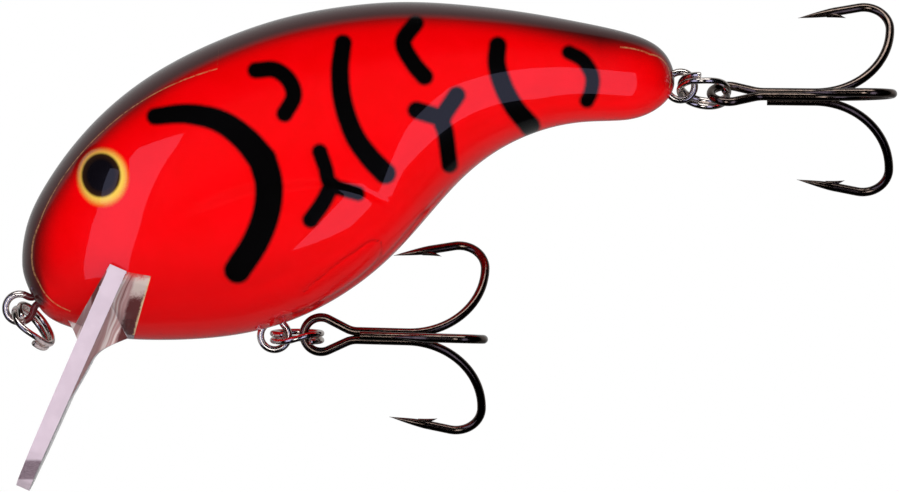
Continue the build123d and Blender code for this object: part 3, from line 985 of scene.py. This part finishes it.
def dress_lip(obj):
    """Clear plastic, but frosted round the plate's edge, with painted shade at its clipped corners, and
    streaked with a painted image of what shows through where the root is cut to the body.
    """
    for material in (clear_material(), frosted_material(), root_material()):
        obj.data.materials.append(material)
    top = Vector((LIP_TOP[0], 0, LIP_TOP[1])) * MM
    for face in obj.data.polygons:
        if abs(face.normal.y) > EDGE_FACING:
            place = face.center - top
            distance = place.dot(direction(180 + LIP_SLOPE)) / MM
            depth = abs(place.dot(direction(270 + LIP_SLOPE))) / MM
            face.material_index = 1 if depth < follow(LIP_DEPTH, distance) + EDGE_SLACK else 2
        elif face.normal.dot(direction(180 + LIP_SLOPE)) > EDGE_FACING and face.center.z / MM < LIP_FRONT_Z:
            face.material_index = 1
        else:
            face.material_index = 0


def dress(obj, material):
    obj.data.materials.clear()
    obj.data.materials.append(material)


# ---- build --------------------------------------------------------------------------------
paint = paint_material()
nickel = metal_material("nickel_ring", (0.80, 0.71, 0.66), (0.96, 0.88, 0.83), 1.0, 0.08, 0.22)
hanger_steel = metal_material("hanger_wire", (0.76, 0.68, 0.64), (0.92, 0.85, 0.80), 1.0, 0.1, 0.25)
bronze = metal_material("bronzed_hook", (0.09, 0.066, 0.055), (0.20, 0.14, 0.11), 0.8, 0.1, 0.24, 0.5)
lead = metal_material("ballast_cast", (0.16, 0.16, 0.17), (0.30, 0.30, 0.31), 1.0, 0.4, 0.7)
ball = metal_material("rattle_steel", (0.50, 0.50, 0.52), (0.70, 0.70, 0.72), 1.0, 0.1, 0.25)

lip = make_lip()
dress_lip(lip)
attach(lip, "lure_body")
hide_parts("diving_lip")

window = prism("window", WINDOW, REACH)
plate = make_plate()
for side, node in ((-1, "left_shell"), (1, "right_shell")):
    shell = make_skin(side)
    dress(shell, paint)
    combine(shell, window, "DIFFERENCE", keep=True)
    combine(shell, plate, "DIFFERENCE", keep=True)
    shade_smooth(shell, 45)
    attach(shell, "lure_body")
    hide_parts(node)
bpy.data.objects.remove(window)
bpy.data.objects.remove(plate)

line_tie_wire = line_tie_material()
wires = []
for node, eye, material in (("line_tie", LINE_EYE, line_tie_wire),
                            ("belly_hanger", BELLY_EYE, hanger_steel),
                            ("tail_hanger", TAIL_EYE, hanger_steel)):
    wire = make_eye_wire(node + "_wire", eye)
    dress(wire, material)
    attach(wire, "lure_body")
    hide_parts(node)
    wires.append(wire)

for node, body, ring in (("line_tie_split_ring", "line_ring", LINE_RING),
                         ("belly_split_ring", "belly_ring", BELLY_RING),
                         ("tail_split_ring", "tail_ring", TAIL_RING)):
    coil = make_split_ring(node + "_coil", ring)
    dress(coil, nickel)
    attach(coil, body)
    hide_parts(node)
    wires.append(coil)

for place, treble in (("belly", BELLY_TREBLE), ("tail", TAIL_TREBLE)):
    for kind, make in (("double", make_double), ("single", make_single)):
        node = place + "_treble_" + kind + "_hook"
        hook = make(node + "_wire", placed(treble))
        dress(hook, bronze)
        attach(hook, place + "_treble")
        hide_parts(node)
        wires.append(hook)

dress(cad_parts["ballast_weight"], lead)
for place in ("front", "middle", "rear"):
    dress(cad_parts["rattle_ball_" + place], ball)

# ---- stage, light and camera --------------------------------------------------------------
FLOOR_BELOW = 0.03
FLOOR_R = 0.6
FLOOR_SIDES = 96
FLOOR_FADE = (0.12, 0.5)  # the floor fades out between these distances from the origin
# What the glossy surfaces see: black in front of the object, then from BACKDROP[0] on in Y a pale
# backdrop that gets brighter behind the object.
BACKDROP = (0.2, 0.32, 0.26)
BACKDROP_MORE = (0.3, 1.0, 0.18)
BELOW = 0.3  # how much of it is left below the object
BELOW_FADE = (-0.35, 0.1)


def map_range(tree, source, low, high, first, last):
    node = tree.nodes.new("ShaderNodeMapRange")
    tree.links.new(source, node.inputs["Value"])
    for key, value in (("From Min", low), ("From Max", high), ("To Min", first), ("To Max", last)):
        node.inputs[key].default_value = value
    return node


def math_node(tree, operation, first, second):
    node = tree.nodes.new("ShaderNodeMath")
    node.operation = operation
    tree.links.new(first, node.inputs[0])
    tree.links.new(second, node.inputs[1])
    return node.outputs[0]


def make_floor(middle, height):
    """A pale disc below the object, which fades out towards its rim."""
    corners = []
    for turn in np.linspace(0, 2 * math.pi, FLOOR_SIDES + 1)[:-1]:
        corners.append((middle + FLOOR_R * math.cos(turn), FLOOR_R * math.sin(turn), height))
    mesh = bpy.data.meshes.new("floor")
    mesh.from_pydata(corners, [], [list(range(FLOOR_SIDES))])
    pale = bpy.data.materials.new("pale_floor")
    pale.use_nodes = True
    tree = pale.node_tree
    shader = tree.nodes["Principled BSDF"]
    shader.inputs["Base Color"].default_value = (0.86, 0.86, 0.86, 1)
    shader.inputs["Roughness"].default_value = 0.7
    place = tree.nodes.new("ShaderNodeNewGeometry")
    length = tree.nodes.new("ShaderNodeVectorMath")
    length.operation = "LENGTH"
    tree.links.new(place.outputs["Position"], length.inputs[0])
    fade = map_range(tree, length.outputs["Value"], *FLOOR_FADE, 1.0, 0.0)
    fade.interpolation_type = "SMOOTHSTEP"
    tree.links.new(fade.outputs[0], shader.inputs["Alpha"])
    mesh.materials.append(pale)
    return add_object("floor", mesh)


def make_world():
    """White for the camera, and the backdrop for everything that reflects."""
    world = bpy.data.worlds.new("studio")
    world.use_nodes = True
    tree = world.node_tree
    tree.nodes.clear()
    output = tree.nodes.new("ShaderNodeOutputWorld")
    seen = tree.nodes.new("ShaderNodeBackground")
    seen.inputs["Color"].default_value = (1, 1, 1, 1)
    around = tree.nodes.new("ShaderNodeBackground")
    where = tree.nodes.new("ShaderNodeTexCoord")
    split = tree.nodes.new("ShaderNodeSeparateXYZ")
    tree.links.new(where.outputs["Generated"], split.inputs[0])
    levels = []
    for start, end, level in (BACKDROP, BACKDROP_MORE):
        levels.append(map_range(tree, split.outputs["Y"], start, end, 0.0, level).outputs[0])
    lower = map_range(tree, split.outputs["Z"], *BELOW_FADE, BELOW, 1.0).outputs[0]
    backdrop = math_node(tree, "MULTIPLY", math_node(tree, "ADD", *levels), lower)
    tree.links.new(backdrop, around.inputs["Color"])
    path = tree.nodes.new("ShaderNodeLightPath")
    choice = tree.nodes.new("ShaderNodeMixShader")
    tree.links.new(path.outputs["Is Camera Ray"], choice.inputs["Fac"])
    tree.links.new(around.outputs[0], choice.inputs[1])
    tree.links.new(seen.outputs[0], choice.inputs[2])
    tree.links.new(choice.outputs[0], output.inputs["Surface"])
    return world


low, high = cad_box
centre = (Vector(low) + Vector(high)) / 2
scene = bpy.context.scene
scene.world = make_world()
floor = make_floor(centre.x, low[2] - FLOOR_BELOW)
floor.visible_glossy = False
floor.visible_shadow = False

WHITE = (1.0, 1.0, 1.0)
COOL = (0.62, 0.64, 1.0)


lit_wires = bpy.data.collections.new("lit_wires")
for wire in wires:
    lit_wires.objects.link(wire)


def add_light(name, away, azimuth, elevation, size, power, colour=WHITE, glossy=True, only=None):
    """An area light turned to the object. Azimuth is from the camera's side towards the tail.

    With `only`, it lights the objects of that collection and no others.
    """
    across = math.radians(azimuth)
    up = math.radians(elevation)
    way = Vector((math.sin(across) * math.cos(up), -math.cos(across) * math.cos(up), math.sin(up)))
    data = bpy.data.lights.new(name, "AREA")
    data.shape = "RECTANGLE"
    data.size, data.size_y = size
    data.energy = power
    data.color = colour
    light = bpy.data.objects.new(name, data)
    scene.collection.objects.link(light)
    light.location = centre + away * way
    light.rotation_euler = (-way).to_track_quat("-Z", "Y").to_euler()
    light.visible_glossy = glossy
    light.visible_camera = False
    if only:
        light.light_linking.receiver_collection = only


add_light("fill_front", 0.87, 0, 24, (0.9, 0.7), 7.9, glossy=False)
add_light("fill_back", 0.89, 180, 27, (0.9, 0.7), 4.5, glossy=False)
add_light("fill_below", 0.7, 0, -50, (0.6, 0.4), 1.6, glossy=False)
add_light("wire_top", 0.6, 0, 62, (0.5, 0.22), 1.1, only=lit_wires)
add_light("wire_front", 0.6, -8, -8, (0.12, 0.3), 0.35, only=lit_wires)
add_light("softbox_left", 0.65, -39.5, 2, (0.241, 0.78), 0.56, COOL)
add_light("softbox_right", 0.65, 28.5, -14, (0.218, 0.63), 0.41, COOL)

CAMERA_AWAY = 1.6
VIEW_WIDTH = 0.0899
VIEW_CENTRE = Vector((0.04299, 0.0, 0.0062))
camera_data = bpy.data.cameras.new("camera")
camera_data.lens = camera_data.sensor_width * CAMERA_AWAY / VIEW_WIDTH
camera_data.clip_start = 0.01
camera = bpy.data.objects.new("camera", camera_data)
scene.collection.objects.link(camera)
camera.location = VIEW_CENTRE - Vector((0, CAMERA_AWAY, 0))
camera.rotation_euler = (math.radians(90), 0, 0)
scene.camera = camera
scene.view_settings.view_transform = "Standard"
